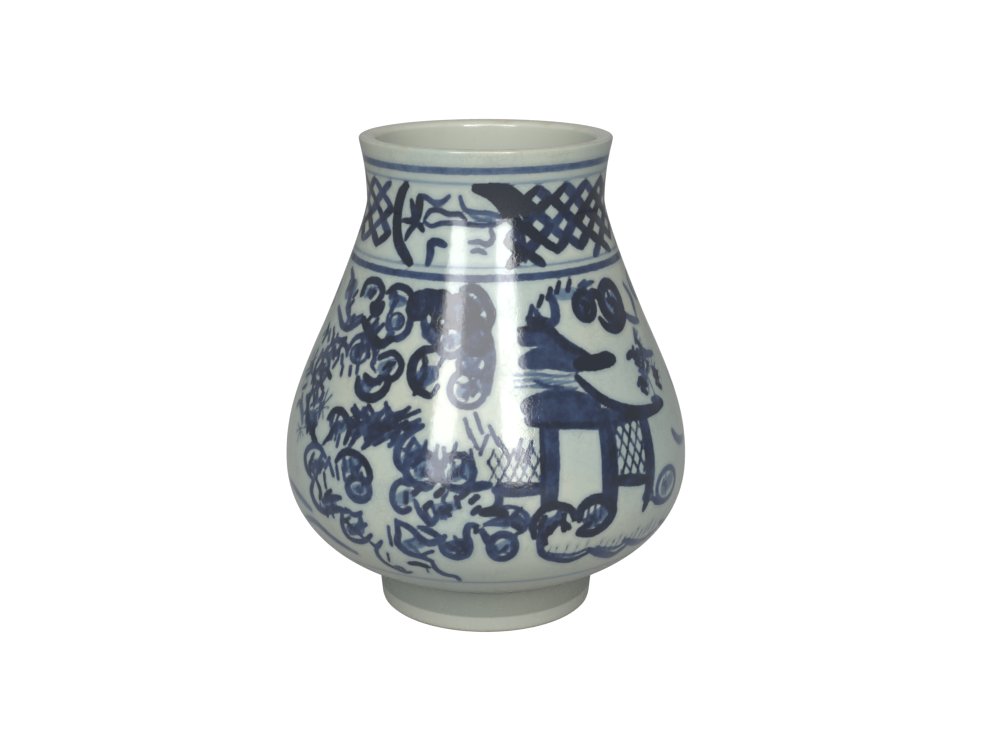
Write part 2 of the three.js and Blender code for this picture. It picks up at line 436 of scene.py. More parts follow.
# %% [markdown]
# The belly carries a landscape in the old manner: chains of cloud and rock lobes, leaf sprays between them,
# and a pavilion with two curved roofs, three posts and lattice fences. These strokes are read off the side in
# view. First come pale washes with a few dabs.

# %% Belly: washes under the lobes
DARK = 0.86
BLUE = 0.66
PALE = 0.42
WASHES = ((-35, 148, 6, 5), (-20, 149, 5, 5), (-4, 148, 5, 7), (-44, 136, 6, 4), (-56, 137, 6, 3),
          (-46, 128, 5, 4), (-59, 123, 5, 4), (-38, 116, 6, 5), (-20, 122, 4, 8), (-47, 97, 5, 6),
          (-60, 96, 5, 7), (-20, 92, 4, 8), (-54, 79, 5, 6), (-38, 84, 5, 6), (-48, 64, 6, 5),
          (-37, 57, 5, 6), (-19, 56, 5, 6), (-8, 57, 4, 6), (-3, 142, 4, 6), (-12, 73, 6, 5),
          (18, 66, 5, 6), (30, 65, 5, 7), (7, 68, 4, 5), (-66, 148, 4, 8), (-19, 139, 4, 6))
for turn, z, wide, high in WASHES:
    wash(turn, z, wide, high, PALE)
    for _ in range(4):
        at = (turn + hand.uniform(-0.7, 0.7) * wide, z + hand.uniform(-0.7, 0.7) * high)
        dab(*at, hand.uniform(1.4, 2.6), hand.uniform(0.5, 0.85), hand.uniform(-1.6, 1.6),
            hand.uniform(2, 4.5))
print("washes:", len(WASHES))

# %% [markdown]
# The clouds are two chains of C-shaped strokes that lean on each other.

# %% Belly: upper cloud chain
lobe(-49.5, 149.6, 6.3, 5.0, 2.8, DARK, 200, -250, 4)
stroke(4.6, DARK, (-47, 145), (-44, 143), (-42, 146))
stroke(2.8, DARK, (-41, 151), (-37, 154), (-32, 153.5), (-29, 151), (-28, 147))
stroke(1.4, BLUE, (-38, 149.5), (-34.5, 150.3), (-31, 148.5))
stroke(2.8, BLUE, (-30, 146), (-28, 143), (-28.5, 137.5), (-32, 134.5), (-36, 135))
stroke(1.6, BLUE, (-38, 143), (-37, 138), (-33.5, 136.5))
lobe(-33.5, 141, 3.0, 3.0, 1.3, BLUE, dabs=3)
stroke(4.2, DARK, (-28, 149), (-25.5, 145.5))
stroke(3.0, DARK, (-27, 150), (-24, 153), (-20, 153), (-15, 151), (-9, 150.5))
stroke(2.0, DARK, (-23, 149.5), (-20, 148), (-17, 150))
stroke(2.8, BLUE, (-23, 146), (-22, 140), (-19, 136), (-15, 133.5))
stroke(3.2, DARK, (-19, 146), (-17.5, 141), (-14, 139))
stroke(3.6, DARK, (-9, 155), (-5, 155.8), (-1.5, 153.5), (0.5, 150), (2, 146), (1, 141))
stroke(5.0, DARK, (-8.5, 146), (-5, 142), (-1.5, 143))
stroke(3.6, DARK, (-6, 151), (-3.5, 147), (-6.5, 143))
stroke(3.0, BLUE, (-7, 138), (-3, 135), (1, 137.5))
stroke(2.6, BLUE, (-5, 133), (-1, 131), (1.5, 133))
stroke(3.2, BLUE, (1, 139), (1.8, 131), (1.2, 124), (0.5, 117))
lobe(-25.5, 148, 4.0, 4.6, 2.6, DARK, dabs=4)
lobe(-17, 149, 4.2, 4.4, 2.8, DARK, dabs=5)
lobe(-9.5, 147, 5.0, 5.4, 3.0, DARK, dabs=5)
lobe(-12, 136, 5.2, 5.6, 2.8, BLUE, dabs=6)
lobe(-3, 137, 4.0, 5.4, 3.0, DARK, dabs=4)
lobe(-5.5, 118.5, 5.4, 6.6, 2.4, BLUE, dabs=6)
lobe(-4, 127.5, 4.6, 3.8, 2.2, BLUE, dabs=4)
print("inked cells:", inked())

# %% Belly: second cloud chain and the wave that joins it
stroke(4.0, DARK, (-50, 139), (-46, 136), (-42, 133), (-38, 131.5), (-34, 134))
stroke(2.6, BLUE, (-71, 139), (-66, 136.5), (-62, 134), (-57, 133.6), (-53, 136.2), (-49, 139.5))
stroke(1.8, BLUE, (-64, 141), (-59, 138), (-55, 138), (-51, 140.5))
stroke(3.0, BLUE, (-72, 155), (-67, 152), (-64, 148), (-63, 143), (-59.5, 139.5))
for turn, z in ((-60, 147), (-60.5, 143), (-66, 149), (-43, 139), (-46, 140.5), (-40, 137.5)):
    dab(turn, z, 2.4, DARK, 0.8, 2.5)
stroke(2.4, BLUE, (-52.5, 125.5), (-51.5, 130), (-48, 133), (-43.5, 132), (-40, 129), (-38.5, 124))
lobe(-46.5, 126, 4.0, 3.5, 1.5, BLUE, dabs=5)
stroke(2.4, BLUE, (-66, 122), (-63.5, 126.5), (-59, 128.2), (-54, 127), (-52, 124))
for turn, z in ((-62, 123.5), (-58, 125), (-57, 119.5), (-52, 118), (-48, 119), (-45, 120.5), (-54, 122)):
    dab(turn, z, 2.2, BLUE, hand.uniform(-1, 1), 3)
lobe(-65, 115, 5.2, 5.8, 2.4, BLUE, dabs=5)
stroke(3.6, DARK, (-60.5, 116), (-57, 114))
stroke(3.4, DARK, (-62, 110.5), (-59, 108.5))
lobe(-32.6, 124, 4.8, 5.2, 2.6, DARK, 150, -270, 4)
stroke(3.6, DARK, (-43.5, 117), (-42, 112.8), (-38, 111), (-34, 112.3), (-31.6, 116.5), (-31.8, 120))
stroke(3.2, DARK, (-41, 119), (-37.5, 117), (-34, 118.8))
stroke(1.6, BLUE, (-38, 129), (-39.5, 124), (-37, 121))
stroke(3.6, DARK, (-16.5, 132.5), (-21, 131.5), (-24, 127), (-23.6, 121), (-21, 117), (-17, 115))
for turn, z in ((-20, 126), (-19.5, 121), (-15.5, 117.5), (-14.5, 128)):
    dab(turn, z, 2.2, BLUE, 0.6, 3)
stroke(1.5, BLUE, (-9.5, 128), (-7, 125), (-4, 126.3), (-1.5, 124.8))
stroke(1.4, BLUE, (-9, 121), (-6.5, 119.5), (-4, 120.5), (-1.5, 117.5))
stroke(1.3, BLUE, (-2, 124), (-4, 121), (-7, 119))
print("inked cells:", inked())

# %% [markdown]
# Between the clouds and the rocks runs a band of leaves, each a few short leaning touches.

# %% Belly: leafy band
LEAVES = ((-41, 103, -1.2), (-38.6, 104, 1), (-36, 104.5, -1), (-34, 102, 1.4), (-31.5, 104, 0.8),
          (-29, 106.5, -0.6), (-26.6, 104, 1.4), (-24, 106, 1.2), (-22, 105.5, 1.6), (-39, 98, 1),
          (-36, 99, -1), (-33, 98, 1.4), (-30, 98, 1.2), (-27.5, 100.5, 1.6), (-25, 98.5, 1),
          (-29, 103, 1), (-34, 95.5, 1), (-38.5, 95, 0.6))
for turn, z, lean in LEAVES:
    for step in (-2.4, -0.6, 1.2, 2.8):
        dab(turn + hand.uniform(-1.4, 1.4), z + step, 2.2, BLUE * hand.uniform(0.9, 1.3), lean, 2.2)
for _ in range(52):
    dab(hand.uniform(-76, -57), hand.uniform(92, 131), hand.uniform(1.6, 2.6), hand.uniform(0.5, 0.85),
        hand.uniform(-1.5, 1.5), hand.uniform(1.5, 3.5))
spray(-56, 102.5, 6.5, 9, BLUE, 10, 300, 2.0)
stroke(2.8, DARK, (-51.5, 99), (-50, 102.5), (-46.5, 103.5), (-43, 101), (-41.5, 97), (-42.3, 92))
for turn, z in ((-49.5, 99), (-46.5, 97), (-48, 94), (-44.5, 99.5), (-45, 92), (-50, 91)):
    dab(turn, z, 2.2, BLUE, hand.uniform(-1, 1), 4)
stroke(2.6, BLUE, (-62, 108), (-65.5, 104), (-65, 98), (-61.5, 94), (-58.5, 91.5), (-56, 88))
stroke(3.2, DARK, (-58, 94), (-57, 90), (-54.5, 88))
stroke(3.0, PALE, (-74, 98), (-69, 96.5), (-65.5, 92))
spray(-66, 89.5, 5.5, 6, BLUE, 180, 200, 1.3)
stroke(3.0, BLUE, (-18, 104), (-22, 100.5), (-24.4, 95), (-24, 89), (-21.5, 85.5))
stroke(2.2, BLUE, (-20, 99), (-21.5, 94), (-20.5, 89))
for turn in (-16.5, -13.5, -11, -8.5, -6, -3.5):
    dab(turn, 93 + hand.uniform(-2, 2), 1.8, BLUE, hand.uniform(-0.6, 0.6), 7)
for turn, z, lean in ((-2, 106, -1), (-3.4, 100, -1.2), (-0.5, 98, 1), (2.2, 101.5, -1.2), (4.5, 97, -1.4),
                      (-5, 104, -0.8), (9, 96, 0.8), (11.5, 95, 1.2)):
    dab(turn, z, 1.9, BLUE, lean, 7)
print("leaves in the band:", len(LEAVES))

# %% [markdown]
# The rocks below use the same strokes as the clouds, packed closer.

# %% Belly: lower left rocks
stroke(2.6, BLUE, (-49, 84), (-53, 87), (-57.5, 85), (-59.6, 80.5), (-58, 75.5), (-54.5, 72.5))
for turn, z in ((-55.5, 81), (-54, 78), (-51.5, 82), (-50.5, 79), (-52, 76.5)):
    dab(turn, z, 2.4, BLUE, 0.6, 4)
stroke(2.9, DARK, (-44.5, 84), (-42, 88.5), (-37.5, 89), (-33.5, 86), (-32, 81), (-33.5, 78))
for turn, z in ((-41, 84), (-38.5, 84), (-36, 84), (-43.5, 79.5), (-46, 80), (-41, 79.8), (-48, 82)):
    dab(turn, z, 2.2, BLUE, hand.uniform(-1, 1), 4.5)
lobe(-35.6, 75.5, 3.8, 4.6, 3.0, BLUE, dabs=3)
stroke(2.6, DARK, (-49, 77), (-48, 71.5))
stroke(2.2, DARK, (-52.5, 73), (-50.5, 69), (-51, 65))
stroke(3.0, BLUE, (-54, 72), (-55.2, 66.5), (-53, 61.5), (-49.5, 60), (-46, 62.3), (-42.5, 64.2), (-40, 64.2))
stroke(3.0, BLUE, (-49.5, 65), (-46.5, 67.5), (-42, 69.5))
dab(-47, 69.5, 2.4, DARK, 1.2, 3)
stroke(2.2, BLUE, (-40, 65.5), (-37, 63.8), (-34.5, 65.8))
stroke(2.5, BLUE, (-41.5, 64), (-42.2, 57), (-41.2, 52), (-38, 51), (-34.5, 53), (-32, 56.5))
stroke(2.5, BLUE, (-35.3, 65), (-35, 61), (-36.8, 57), (-35.5, 54.5))
dab(-34, 60, 2.0, BLUE, 0.8, 2)
stroke(2.0, BLUE, (-33, 52.5), (-31, 51), (-29, 54.5))
stroke(2.2, BLUE, (-31.5, 51), (-31.7, 46), (-30, 42), (-27, 40), (-24.8, 38.8), (-22.5, 39.8))
stroke(1.7, DARK, (-28, 48.8), (-28.6, 44))
stroke(1.6, BLUE, (-27, 42), (-25, 41.3), (-24.5, 38.5))
print("inked cells:", inked())

# %% Belly: lower middle rocks
lobe(-22, 75.8, 3.0, 6.2, 2.6, BLUE, 60, 250, 0)
stroke(2.6, DARK, (-21, 77.5), (-21, 73.5))
lobe(-17, 87.5, 4.6, 6.2, 3.0, BLUE, dabs=6)
lobe(-7.5, 87.5, 4.4, 6.4, 2.8, BLUE, dabs=5)
stroke(3.0, BLUE, (-19.5, 82), (-16, 80.5), (-13.5, 83))
for turn, z in ((-18, 79), (-12, 79), (-15, 73.5), (-10, 72), (-3, 77), (-2.5, 72.5), (-5.5, 79)):
    dab(turn, z, 3.0, DARK, 0.7, 2)
dab(-7.2, 75.5, 2.4, DARK, -0.4, 4)
stroke(1.4, BLUE, (-9.5, 80), (-11, 76), (-9, 73.5))
stroke(2.4, BLUE, (-18.5, 75), (-17, 70), (-14.2, 66), (-12.5, 69.5), (-11.5, 73))
stroke(3.0, BLUE, (-15.5, 70), (-14.2, 66))
stroke(2.9, BLUE, (-23.8, 65.5), (-23.4, 60), (-24, 55), (-21.5, 51), (-17.5, 49.7), (-14.8, 48))
stroke(2.4, BLUE, (-14.8, 48), (-14.2, 44), (-12, 41), (-9, 40), (-7.8, 37.8))
stroke(2.8, BLUE, (-23.5, 65), (-20, 63), (-17.5, 59.5), (-15.2, 57), (-12.5, 58.5), (-10.5, 61))
stroke(2.6, BLUE, (-17.5, 64), (-13.8, 62), (-11, 59))
stroke(3.0, BLUE, (-12, 58), (-11, 53.2), (-8, 51), (-5, 53), (-4.2, 57.5), (-5, 62), (-4.4, 66), (-2.2, 66))
dab(-2.6, 64.5, 2.4, DARK, 0, 2.5)
stroke(2.2, BLUE, (-8, 61), (-7, 57))
stroke(2.2, BLUE, (-26.2, 62), (-26, 53.5))
stroke(2.8, DARK, (-22, 45.2), (-19, 45.6), (-16.2, 44.4))
stroke(1.3, BLUE, (-17, 44), (-16.8, 41))
stroke(3.6, BLUE, (-7, 80.5), (-3, 82), (1, 82.8))
stroke(3.2, PALE, (-73, 63), (-66, 61), (-57, 57.5))
stroke(3.4, PALE, (-65, 49.5), (-57, 51.5), (-49, 47), (-41, 43.5))

print("inked cells:", inked())

# %% [markdown]
# The pavilion is built up as a painter would: broad strokes fill the roofs, dark lines make the ridges and
# eaves, and thick strokes the posts.

# %% Belly: roofs and posts
stroke(7.0, BLUE, (13, 136), (19, 137), (24, 134.5), (29, 130), (35, 126.5))
stroke(8.0, BLUE, (13, 128), (20, 129), (27, 127), (33, 125))
stroke(3.2, DARK, (12, 140), (19, 140), (23.5, 138.5), (26.5, 134), (30, 131), (35, 128))
stroke(6.0, 1.0, (31, 125), (37, 124.5), (42, 124.5), (45.5, 124.3))
stroke(2.0, DARK, (40, 127), (44, 126.6), (46, 124.5))
# the band between the roofs
for z, ink in ((123.5, PALE), (121.3, 0.34), (119, PALE)):
    stroke(1.3, ink, (9, z), (16, z - 0.3), (23, z - 1.8), (29, z - 2.4))
stroke(1.6, BLUE, (15, 121), (19, 118.5), (24, 117.5))
# main roof with its swept eave
stroke(10.0, BLUE, (13, 111.5), (20, 111.5), (27, 110.5), (33, 107.5))
stroke(7.0, BLUE, (13, 106.5), (24, 105.5), (34, 103.5), (45, 102))
stroke(3.6, DARK, (29.5, 120.5), (32.5, 116), (37, 110.5), (43, 106), (50, 103), (58, 101.6))
stroke(4.2, DARK, (42, 102.5), (50, 101), (58, 100.6), (64.5, 101.2))
stroke(3.0, BLUE, (59, 104), (62, 103.4), (64.8, 101.2))
stroke(2.2, DARK, (14, 104.5), (24, 103.3), (33, 101.8), (40, 101))
# posts
stroke(6.6, BLUE, (18.3, 107), (17.6, 95), (17, 84), (16.4, 74), taper=0.1)
stroke(2.0, DARK, (15.6, 104), (15.2, 90), (14.9, 78))
stroke(7.2, 0.74, (36, 104), (35.6, 92), (34.8, 80), (34.6, 70), taper=0.15)
stroke(3.0, DARK, (36.8, 103), (36.6, 90), (36.2, 78))
stroke(5.8, 0.74, (51.2, 100), (51, 88), (50.4, 78), (49.4, 70), taper=0.1)
stroke(3.2, DARK, (49.2, 72), (48.6, 66), (47.4, 62))
print("inked cells:", inked())

# %% [markdown]
# The fences between the posts are thin crossed strokes, each cut off where it meets a post.

# %% Belly: lattice fences and rails
LATTICE_LEAN = 0.34


def lattice(left, right, low, high, gap, width, ink):
    """A fence of thin crossed strokes between two posts."""
    count = int((right - left) / gap)
    rise = high - low
    for k in range(-count, count + 1):
        for side in (-1, 1):
            foot_turn = left + gap * k if side > 0 else right - gap * k
            head_turn = foot_turn + side * rise * LATTICE_LEAN
            ends = [float(np.clip(turn, left, right)) for turn in (foot_turn, head_turn)]
            if abs(ends[1] - ends[0]) < 0.8:
                continue
            line = [(turn, low + rise * (turn - foot_turn) / (head_turn - foot_turn)) for turn in ends]
            stroke(width * hand.uniform(0.8, 1.2), ink * hand.uniform(0.8, 1.15), *line, taper=0.1)


lattice(0.5, 14.4, 83, 96, 2.7, 0.9, 0.7)
lattice(38.6, 48.6, 79, 100, 3.0, 1.15, 0.8)
stroke(4.6, BLUE, (2.5, 80.8), (8, 80.2), (15.5, 80.2))
stroke(1.8, DARK, (3, 83), (9, 82.4), (15, 82))
stroke(4.6, DARK, (37, 78.5), (42, 77), (48.5, 74.8))
print("inked cells:", inked())

# %% [markdown]
# The pavilion stands on rocks, and a scalloped ground line with tufts of grass closes the picture below.

# %% Belly: rocks and ground under the pavilion
stroke(3.0, DARK, (12.6, 60), (12.2, 66), (14.6, 71.5), (18.5, 72.8), (22.4, 70.5), (23.4, 66))
for turn, z in ((14.6, 66.5), (20.4, 66.8), (17.6, 63.5), (16, 61.5), (20.5, 63.8), (15.5, 58.5)):
    dab(turn, z, 2.6, DARK, hand.uniform(-0.8, 0.8), 4)
stroke(4.0, DARK, (25, 65.5), (25.8, 70.5), (29.5, 73), (33.5, 71.2), (35.4, 66.5), (33.6, 61.5),
       (29.5, 58.3), (25, 59.5))
for turn in (27.8, 29.8, 31.8):
    stroke(1.5, BLUE, (turn, 70.5), (turn - 0.6, 64))
dab(26.5, 61.5, 3.2, DARK, 1.2, 2)
lobe(59.2, 68, 5.8, 7.0, 2.4, 0.5, dabs=4)
stroke(1.3, 0.45, (58.5, 72.5), (58.5, 63.5))
lobe(49.2, 67.6, 2.2, 2.4, 1.4, BLUE, dabs=1)
stroke(2.4, BLUE, (50.8, 66), (54, 62.5), (58.5, 60.5))
lobe(4.4, 56.4, 3.4, 5.8, 3.0, BLUE, dabs=3)
stroke(1.8, BLUE, (3, 74), (7.5, 73.4), (10.6, 69.5), (9.8, 64), (7, 61.5))
dab(8, 65.4, 2.8, DARK, -0.8, 1.5)
stroke(4.0, DARK, (-1, 71.5), (2.5, 72.2), (5, 71))
stroke(1.9, BLUE, (-0.5, 66.6), (4, 69.2), (7, 66.8), (-0.5, 66.6))
stroke(3.2, BLUE, (-1, 64), (0.6, 59), (2.4, 55))
stroke(3.0, BLUE, (3, 82), (3.4, 76), (2, 72.5))
# scalloped ground line and its grass
stroke(2.8, BLUE, (14.6, 65), (14.2, 58), (15.2, 52), (18.5, 48.6), (24, 46.2), (29, 48.4))
stroke(3.4, 0.56, (29, 50.5), (33, 47), (37, 44.4), (40.5, 43), (44, 45.8))
stroke(3.2, 0.46, (42, 50), (47, 46.3), (53, 44.2), (60, 46))
stroke(3.0, 0.4, (60, 50), (66, 46.5), (73, 45))
GRASS = ((17, 52.5), (18.8, 52), (22, 52.3), (25, 51.6), (28.2, 53), (32.8, 51.5), (35, 49.8), (37.4, 49.8),
         (39.6, 51), (41.6, 49.6), (44.4, 49.5), (46.6, 51.4), (49, 49.6), (51.4, 50.4), (53.4, 52),
         (56, 49.5))
for turn, z in GRASS:
    stroke(2.0, 0.72, (turn - 0.5, z - 2.6), (turn + 0.4, z + 2.4), taper=0.8)
stroke(1.8, 0.5, (16.5, 52), (20, 50.2), (24.5, 49.2), (28, 50.6))
stroke(1.8, 0.45, (31.5, 51), (35, 48.4), (40, 47), (43, 48.6))

print("tufts of grass:", len(GRASS))

# %% [markdown]
# Above the roofs a plume of dabs rises, and beside it hang dark clouds and the needles of a pine.

# %% Belly: plume, right-hand clouds and pine
PLUME = ((16.6, 146.5, 0.6), (20.8, 150, 0.9), (24.8, 152.5, 0.9), (29, 154.5, 0.9), (34.2, 154.8, 1))
for turn, z, lean in PLUME:
    dab(turn, z, 2.4, DARK, lean, 3.4)
stroke(2.2, BLUE, (36, 151), (40, 152.4), (44, 154), (48.2, 154.4), taper=0.7)
stroke(1.8, BLUE, (38, 153.4), (41, 154.6), (43.5, 155.6), taper=0.7)
stroke(4.2, 0.24, (27.5, 152), (32, 151.6), (37, 152))
stroke(3.6, BLUE, (25.4, 152), (26.2, 147), (25.4, 142.5), (22, 141))
stroke(4.0, DARK, (15.5, 144), (17.5, 142), (20.5, 142.2))
stroke(2.4, BLUE, (18, 147), (20, 143.5), (23, 142.6))
lobe(39.6, 146, 4.4, 5.0, 3.4, DARK, dabs=6)
stroke(3.0, DARK, (38, 148), (41, 146), (39, 143.5))
lobe(55, 145, 6.2, 7.2, 4.4, 0.8, dabs=4)
stroke(3.6, DARK, (53, 146), (57, 143.5), (55, 139.5))
stroke(4.0, DARK, (44, 150.5), (47, 149.5), (49.5, 147))
stroke(3.6, DARK, (45.4, 140), (48, 136.2), (53, 134.4), (58, 136.4), (61.5, 138.8))
stroke(3.2, 0.52, (61, 138.5), (66, 135), (71, 133.6))
stroke(3.0, 0.42, (70, 149), (73, 143), (71, 136))
stroke(3.2, DARK, (52.8, 122.6), (56, 123.6), (59.5, 122.4), taper=0.6)
stroke(3.2, 0.54, (59, 122.5), (65, 121), (72, 119.5))
spray(61, 126.5, 8, 5, 0.56, -10, 70, 2.0)
for _ in range(22):
    dab(hand.uniform(54, 72), hand.uniform(107, 126), hand.uniform(2, 3), hand.uniform(0.55, 0.9),
        hand.uniform(-1.8, 1.8), hand.uniform(1, 3))
stroke(3.6, DARK, (56.2, 111.4), (58.4, 110.6))
spray(61, 113.5, 9, 9, 0.6, 20, 250, 1.6)
spray(66, 113, 8, 6, 0.46, -60, 140, 1.8)
stroke(2.4, 0.6, (57, 116.5), (60, 116))
stroke(3.4, 0.46, (66.5, 88), (68.5, 84.5), (72, 81.5), (77, 80.5))
print("inked cells:", inked())

# %% [markdown]
# The photograph shows one side. The rest of the belly goes on in the same manner: two tiers of cloud and rock
# chains, pine sprays, a second small shelter and the grassy ground line, placed round the back.

# %% Belly: the far side
def chain(places, width, ink):
    """A chain of lobes that overlap, each a little different."""
    for turn, z, size in places:
        lobe(turn, z, size, size * 1.05, width * hand.uniform(0.85, 1.15), ink * hand.uniform(0.85, 1.1),
             hand.uniform(0, 360), hand.uniform(270, 360), 4)


chain(((84, 146, 5.5), (92, 141, 5), (100, 147, 6), (109, 143, 5), (118, 149, 5)), 2.8, BLUE)
chain(((146, 148, 5.5), (155, 143, 5.5), (164, 149, 5), (172, 143, 6), (181, 137, 4.5)), 2.8, DARK)
chain(((214, 146, 5.5), (223, 150, 5), (231, 144, 6), (240, 139, 4.5), (266, 148, 6), (274, 142, 5)),
      2.8, BLUE)
chain(((88, 104, 5), (96, 98, 5.5), (91, 90, 4.5), (101, 86, 5), (109, 92, 4)), 2.7, BLUE)
chain(((236, 104, 5), (243, 97, 5.5), (238, 89, 4.5), (247, 84, 5), (255, 90, 4.2), (251, 76, 4.5)),
      2.7, BLUE)
chain(((186, 74, 5), (195, 69, 5.5), (204, 74, 4.6), (213, 69, 5), (150, 70, 5), (141, 74, 4.4)), 3.0, DARK)
PINES = ((128, 128), (136, 118), (200, 122), (209, 113), (256, 122), (284, 112), (112, 118), (270, 96))
for turn, z in PINES:
    spray(turn, z, 10, 11, BLUE, hand.uniform(0, 90), 300, 1.6)
# a shelter with one roof and two posts
stroke(8.0, BLUE, (152, 112), (164, 114), (176, 112), (188, 108))
stroke(3.6, DARK, (146, 107), (158, 110), (168, 117), (178, 111), (192, 106))
stroke(6.0, BLUE, (157, 108), (156, 94), (155, 80), taper=0.1)
stroke(6.0, BLUE, (182, 107), (182.5, 94), (183, 80), taper=0.1)
lattice(159, 179, 82, 96, 2.6, 1.0, 0.62)
stroke(4.2, BLUE, (157, 80.5), (170, 79.6), (183, 80.4))
GROUND_START = 80
SCALLOP = 14.6
for k in range(14):
    turn = GROUND_START + k * SCALLOP
    stroke(3.0, 0.5, (turn, 51), (turn + 4, 46.8), (turn + 9, 45.4), (turn + 13.5, 48.6))
    for step in range(5):
        grass = turn + 2 + step * 2.4
        stroke(1.5, 0.5, (grass, 48.5), (grass + 0.7, 53), taper=0.8)
print("inked share of the wall:", round(float((sheet_edge < 0).mean()), 3))

# %% [markdown]
# The sheet is read at every vertex and stored as two attributes, the distance to a stroke's edge and the
# strength of its ink; a third tells outside from inside. A material can then cut the edge with a little noise,
# as ink bleeds under a glaze, and stay sharp between the vertices.

# %% Carry the sheet onto the sections
SKIN = 1.5
PAINT_TOP_Z = 207.5
PAINT_BOTTOM_Z = FOOT_TOP_Z + 0.5


def read_sheet(sheet, turn, z):
    """The sheet's value at each place, mixed from its four nearest cells."""
    column = (turn % 360) * TURN_CELLS / 360
    row = np.clip((z - sheet_z[0]) / CELL_Z, 0, len(sheet_z) - 1.001)
    c0, r0 = np.floor(column).astype(int), np.floor(row).astype(int)
    fc, fr = column - c0, row - r0
    c0, c1 = c0 % TURN_CELLS, (c0 + 1) % TURN_CELLS
    low = sheet[r0, c0] * (1 - fc) + sheet[r0, c1] * fc
    high = sheet[r0 + 1, c0] * (1 - fc) + sheet[r0 + 1, c1] * fc
    return low * (1 - fr) + high * fr


for piece in WORN:
    mesh = piece.data
    spots = np.empty(len(mesh.vertices) * 3)
    mesh.vertices.foreach_get("co", spots)
    x, y, z = spots.reshape(-1, 3).T / MM
    far_out = np.hypot(x, y) > radius_at(z) - SKIN
    painted = far_out & (z > PAINT_BOTTOM_Z) & (z < PAINT_TOP_Z)
    turn = np.degrees(np.arctan2(x, -y))
    edge = np.where(painted, read_sheet(sheet_edge, turn, z), UNPAINTED)
    ink = np.where(painted, read_sheet(sheet_ink, turn, z), 0.0)
    for name, values in (("stroke_edge", edge), ("stroke_ink", ink), ("outside", far_out.astype(float))):
        layer = mesh.attributes.new(name, "FLOAT", "POINT")
        layer.data.foreach_set("value", values.astype(np.float32))
    print(piece.name, "inked vertices:", int((edge < 0).sum()))

# %% [markdown]
# Materials are written as sums. One small class wraps a socket, so plain arithmetic adds Math nodes, and one
# method adds any other node from its type, its settings and what goes into its sockets.

# %% A small class for shader sums
class Wire:
    """An output socket that can be added, subtracted and multiplied."""

    def __init__(self, tree, socket):
        self.tree = tree
        self.socket = socket

    def combine(self, operation, first, second):
        return add_node(self.tree, "ShaderNodeMath", {"operation": operation}, _0=first, _1=second).out(0)

    def __add__(self, other):
        return self.combine("ADD", self, other)

    def __radd__(self, other):
        return self.combine("ADD", other, self)

    def __sub__(self, other):
        return self.combine("SUBTRACT", self, other)

    def __rsub__(self, other):
        return self.combine("SUBTRACT", other, self)

    def __mul__(self, other):
        return self.combine("MULTIPLY", self, other)

    def __rmul__(self, other):
        return self.combine("MULTIPLY", other, self)

    def between(self, low, high):
        """0 up to low, 1 from high on, and smooth between; low may be the larger."""
        return add_node(self.tree, "ShaderNodeMapRange", {"interpolation_type": "SMOOTHSTEP"}, _0=self,
                        _1=low, _2=high, _3=0.0, _4=1.0).out(0)


class Node:
    """A node whose outputs come out as wires."""

    def __init__(self, tree, node):
        self.tree = tree
        self.node = node

    def out(self, key):
        return Wire(self.tree, self.node.outputs[key])


def add_node(tree, kind, settings=None, **inputs):
    """Add a node: its settings first, then the values or links of its sockets."""
    node = tree.nodes.new(kind)
    for key, value in (settings or {}).items():
        if key == "stops":
            ramp = node.color_ramp
            while len(ramp.elements) < len(value):
                ramp.elements.new(0.5)
            for element, (place, colour) in zip(ramp.elements, value):
                element.position = place
                element.color = (*colour, 1)
        else:
            setattr(node, key, value)
    for key, value in inputs.items():
        socket = node.inputs[int(key[1:])] if key.startswith("_") else node.inputs[key.replace("_", " ")]
        if isinstance(value, Wire):
            tree.links.new(value.socket, socket)
        else:
            socket.default_value = value
    return Node(tree, node)


def mixed(tree, share, first, second):
    """Mix two colours by a share."""
    first, second = ((*c, 1) if isinstance(c, tuple) else c for c in (first, second))
    return add_node(tree, "ShaderNodeMix", {"data_type": "RGBA"}, _0=share, _6=first, _7=second).out(2)


def noise(place, scale, detail=3.0, roughness=0.55):
    """Cloudy noise at a scale."""
    return add_node(place.tree, "ShaderNodeTexNoise", Vector=place, Scale=scale, Detail=detail,
                    Roughness=roughness).out(0)


def stored(tree, name):
    """A number that the vertices carry."""
    return add_node(tree, "ShaderNodeAttribute", {"attribute_name": name}).out("Fac")


print("helpers: add_node, mixed, noise, stored")

# %% [markdown]
# The glaze is a thick grey-green gloss over a greyish body. It is never one colour: it is warmer in broad
# patches, deeper in small ones, and holds a net of fine cracks and specks of iron. The colours are tuned for
# the light below.

# %% Ground, cracks and specks
GLAZE_COOL = (0.245, 0.288, 0.262)
GLAZE_WARM = (0.285, 0.305, 0.255)
GLAZE_DEEP = (0.175, 0.21, 0.195)
CRACK = (0.12, 0.125, 0.105)
IRON = (0.20, 0.10, 0.035)
CRACKS_PER_METRE = 360.0
CRACK_SWAY = 0.002
SPECKS_PER_METRE = 75.0


def ground(tree, broad, cloudy, fine, cool, warm):
    """Grey-green glaze, warmer in broad patches and deeper in small ones."""
    colour = mixed(tree, broad.between(0.38, 0.66), cool, warm)
    colour = mixed(tree, cloudy.between(0.52, 0.75) * 0.35, colour, GLAZE_DEEP)
    return mixed(tree, fine.between(0.5, 0.75) * 0.18, colour, GLAZE_DEEP)


